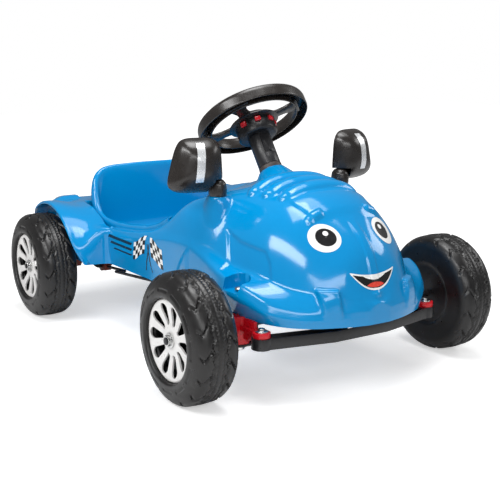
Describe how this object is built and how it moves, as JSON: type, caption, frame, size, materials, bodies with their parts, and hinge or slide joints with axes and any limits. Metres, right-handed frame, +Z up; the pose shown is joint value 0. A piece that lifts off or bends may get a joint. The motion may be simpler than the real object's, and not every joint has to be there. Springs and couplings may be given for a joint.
{
  "type": "pedal go kart",
  "caption": "Child's pedal go kart with a moulded body and bucket seat, steered front wheels, a cranked rear axle driven by pedals, a steering wheel and two mirrors.",
  "frame": {"origin": "on the floor, under the middle of the overall length, on the centre plane", "axes": "+X forward, +Y to the kart's left, +Z up"},
  "size_m": [0.905, 0.646, 0.507],
  "materials": {
    "blue_body": "glossy blow-moulded polyethylene",
    "black_tyre": "satin blow-moulded polyethylene",
    "silver_disc": "vacuum-metallised plastic disc",
    "black_plastic": "smooth satin to gloss",
    "red_knuckle": "moulded, smooth",
    "red_button": "smooth",
    "brown_bush": "moulded, smooth",
    "grey_collar": "moulded, smooth",
    "steel_rod": "black oxide",
    "bright_steel": "zinc plated",
    "black_beam": "black powder coat",
    "mirror_film": "polished",
    "pedal_grey": "moulded, ribbed"
  },
  "bodies": {
    "chassis": {"front_body": "blue_body", "seat_tub": "blue_body", "rear_deck": "blue_body", "front_beam": "black_beam", "kingpin_bolt_left": "bright_steel", "kingpin_bolt_right": "bright_steel", "kingpin_nuts": "bright_steel", "column_collar": "grey_collar", "axle_bearings": "brown_bush", "bearing_screws": "bright_steel", "pedal_shaft": "steel_rod", "pedal_brackets": "black_plastic", "mirror_arm_left": "black_plastic", "mirror_arm_right": "black_plastic", "seat_screws": "bright_steel"},
    "steering": {"steering_wheel": "black_plastic", "hub_cover": "black_plastic", "steering_drum": "black_plastic", "column_tube": "black_plastic", "battery_cover": "black_plastic", "steering_shaft": "steel_rod"},
    "tie_rod_body": {"tie_rod": "black_plastic"},
    "axle": {"rear_axle": "steel_rod", "tyre_rear_right": "black_tyre", "wheel_disc_rear_right": "silver_disc", "axle_nut_rear_left": "bright_steel", "axle_nut_rear_right": "bright_steel"},
    "wheel_rear_left": {"tyre_rear_left": "black_tyre", "wheel_disc_rear_left": "silver_disc"},
    "button_1_body": {"button_1": "red_button"},
    "button_2_body": {"button_2": "red_button"},
    "button_3_body": {"button_3": "red_button"},
    "button_4_body": {"button_4": "red_button"},
    "knuckle_left_body": {"knuckle_left": "red_knuckle", "stub_axle_left": "steel_rod", "tie_rod_bolt_left": "bright_steel", "axle_nut_front_left": "bright_steel"},
    "wheel_front_left": {"tyre_front_left": "black_tyre", "wheel_disc_front_left": "silver_disc"},
    "knuckle_right_body": {"knuckle_right": "red_knuckle", "stub_axle_right": "steel_rod", "tie_rod_bolt_right": "bright_steel", "axle_nut_front_right": "bright_steel"},
    "wheel_front_right": {"tyre_front_right": "black_tyre", "wheel_disc_front_right": "silver_disc"},
    "push_rod_left_body": {"push_rod_left": "steel_rod", "crank_bush_left": "brown_bush"},
    "pedal_left": {"pedal_arm_left": "black_plastic", "pedal_pad_left": "pedal_grey"},
    "mirror_left": {"mirror_housing_left": "black_plastic", "mirror_glass_left": "mirror_film"},
    "push_rod_right_body": {"push_rod_right": "steel_rod", "crank_bush_right": "brown_bush"},
    "pedal_right": {"pedal_arm_right": "black_plastic", "pedal_pad_right": "pedal_grey"},
    "mirror_right": {"mirror_housing_right": "black_plastic", "mirror_glass_right": "mirror_film"}
  },
  "joints": [
    {"name": "steering", "type": "hinge", "parent": "chassis", "child": "steering", "pos_m": [0.0665, 0, 0.4365], "axis": [-0.5892, 0, 0.808], "range_deg": [-25, 25]},
    {"name": "button_1_press", "type": "slide", "parent": "steering", "child": "button_1_body", "axis": [-0.3286, 0.9135, -0.2396], "range_m": [0, 0.002], "stiffness_N_per_m": 500},
    {"name": "button_2_press", "type": "slide", "parent": "steering", "child": "button_2_body", "axis": [-0.7492, 0.3746, -0.5463], "range_m": [0, 0.002], "stiffness_N_per_m": 500},
    {"name": "button_3_press", "type": "slide", "parent": "steering", "child": "button_3_body", "axis": [-0.7492, -0.3746, -0.5463], "range_m": [0, 0.002], "stiffness_N_per_m": 500},
    {"name": "button_4_press", "type": "slide", "parent": "steering", "child": "button_4_body", "axis": [-0.3286, -0.9135, -0.2396], "range_m": [0, 0.002], "stiffness_N_per_m": 500},
    {"name": "knuckle_left", "type": "hinge", "parent": "chassis", "child": "knuckle_left_body", "pos_m": [0.3025, 0.179, 0.111], "axis": [0, 0, 1], "range_deg": [-25, 25]},
    {"name": "wheel_front_left_spin", "type": "hinge", "parent": "knuckle_left_body", "child": "wheel_front_left", "pos_m": [0.3025, 0.281, 0.111], "axis": [0, 1, 0], "continuous": true},
    {"name": "knuckle_right", "type": "hinge", "parent": "chassis", "child": "knuckle_right_body", "pos_m": [0.3025, -0.179, 0.111], "axis": [0, 0, 1], "range_deg": [-25, 25]},
    {"name": "wheel_front_right_spin", "type": "hinge", "parent": "knuckle_right_body", "child": "wheel_front_right", "pos_m": [0.3025, -0.281, 0.111], "axis": [0, 1, 0], "continuous": true},
    {"name": "tie_rod_pivot", "type": "hinge", "parent": "knuckle_left_body", "child": "tie_rod_body", "pos_m": [0.3685, 0.179, 0.1015], "axis": [0, 0, 1], "range_deg": [-25, 25]},
    {"name": "axle_spin", "type": "hinge", "parent": "chassis", "child": "axle", "pos_m": [-0.3275, 0, 0.111], "axis": [0, 1, 0], "continuous": true},
    {"name": "wheel_rear_left_spin", "type": "hinge", "parent": "chassis", "child": "wheel_rear_left", "pos_m": [-0.3275, 0.281, 0.111], "axis": [0, 1, 0], "continuous": true},
    {"name": "push_rod_left_pivot", "type": "hinge", "parent": "axle", "child": "push_rod_left_body", "pos_m": [-0.35175, 0.149, 0.125], "axis": [0, 1, 0], "continuous": true},
    {"name": "pedal_left_swing", "type": "hinge", "parent": "chassis", "child": "pedal_left", "pos_m": [0.15, 0.152, 0.215], "axis": [0, 1, 0], "range_deg": [-22, 22]},
    {"name": "mirror_left_swivel", "type": "hinge", "parent": "chassis", "child": "mirror_left", "pos_m": [0.167, 0.134, 0.355], "axis": [0, 0, 1], "range_deg": [-20, 20]},
    {"name": "push_rod_right_pivot", "type": "hinge", "parent": "axle", "child": "push_rod_right_body", "pos_m": [-0.30325, -0.149, 0.097], "axis": [0, 1, 0], "continuous": true},
    {"name": "pedal_right_swing", "type": "hinge", "parent": "chassis", "child": "pedal_right", "pos_m": [0.15, -0.152, 0.215], "axis": [0, 1, 0], "range_deg": [-22, 22]},
    {"name": "mirror_right_swivel", "type": "hinge", "parent": "chassis", "child": "mirror_right", "pos_m": [0.167, -0.134, 0.355], "axis": [0, 0, 1], "range_deg": [-20, 20]}
  ],
  "couplings": [
    {"joint": "knuckle_left", "follows": "steering", "ratio": 1},
    {"joint": "knuckle_right", "follows": "steering", "ratio": 1},
    {"joint": "tie_rod_pivot", "follows": "steering", "ratio": -1},
    {"joint": "push_rod_left_pivot", "follows": "axle_spin", "ratio": -1},
    {"joint": "push_rod_right_pivot", "follows": "axle_spin", "ratio": -1}
  ]
}
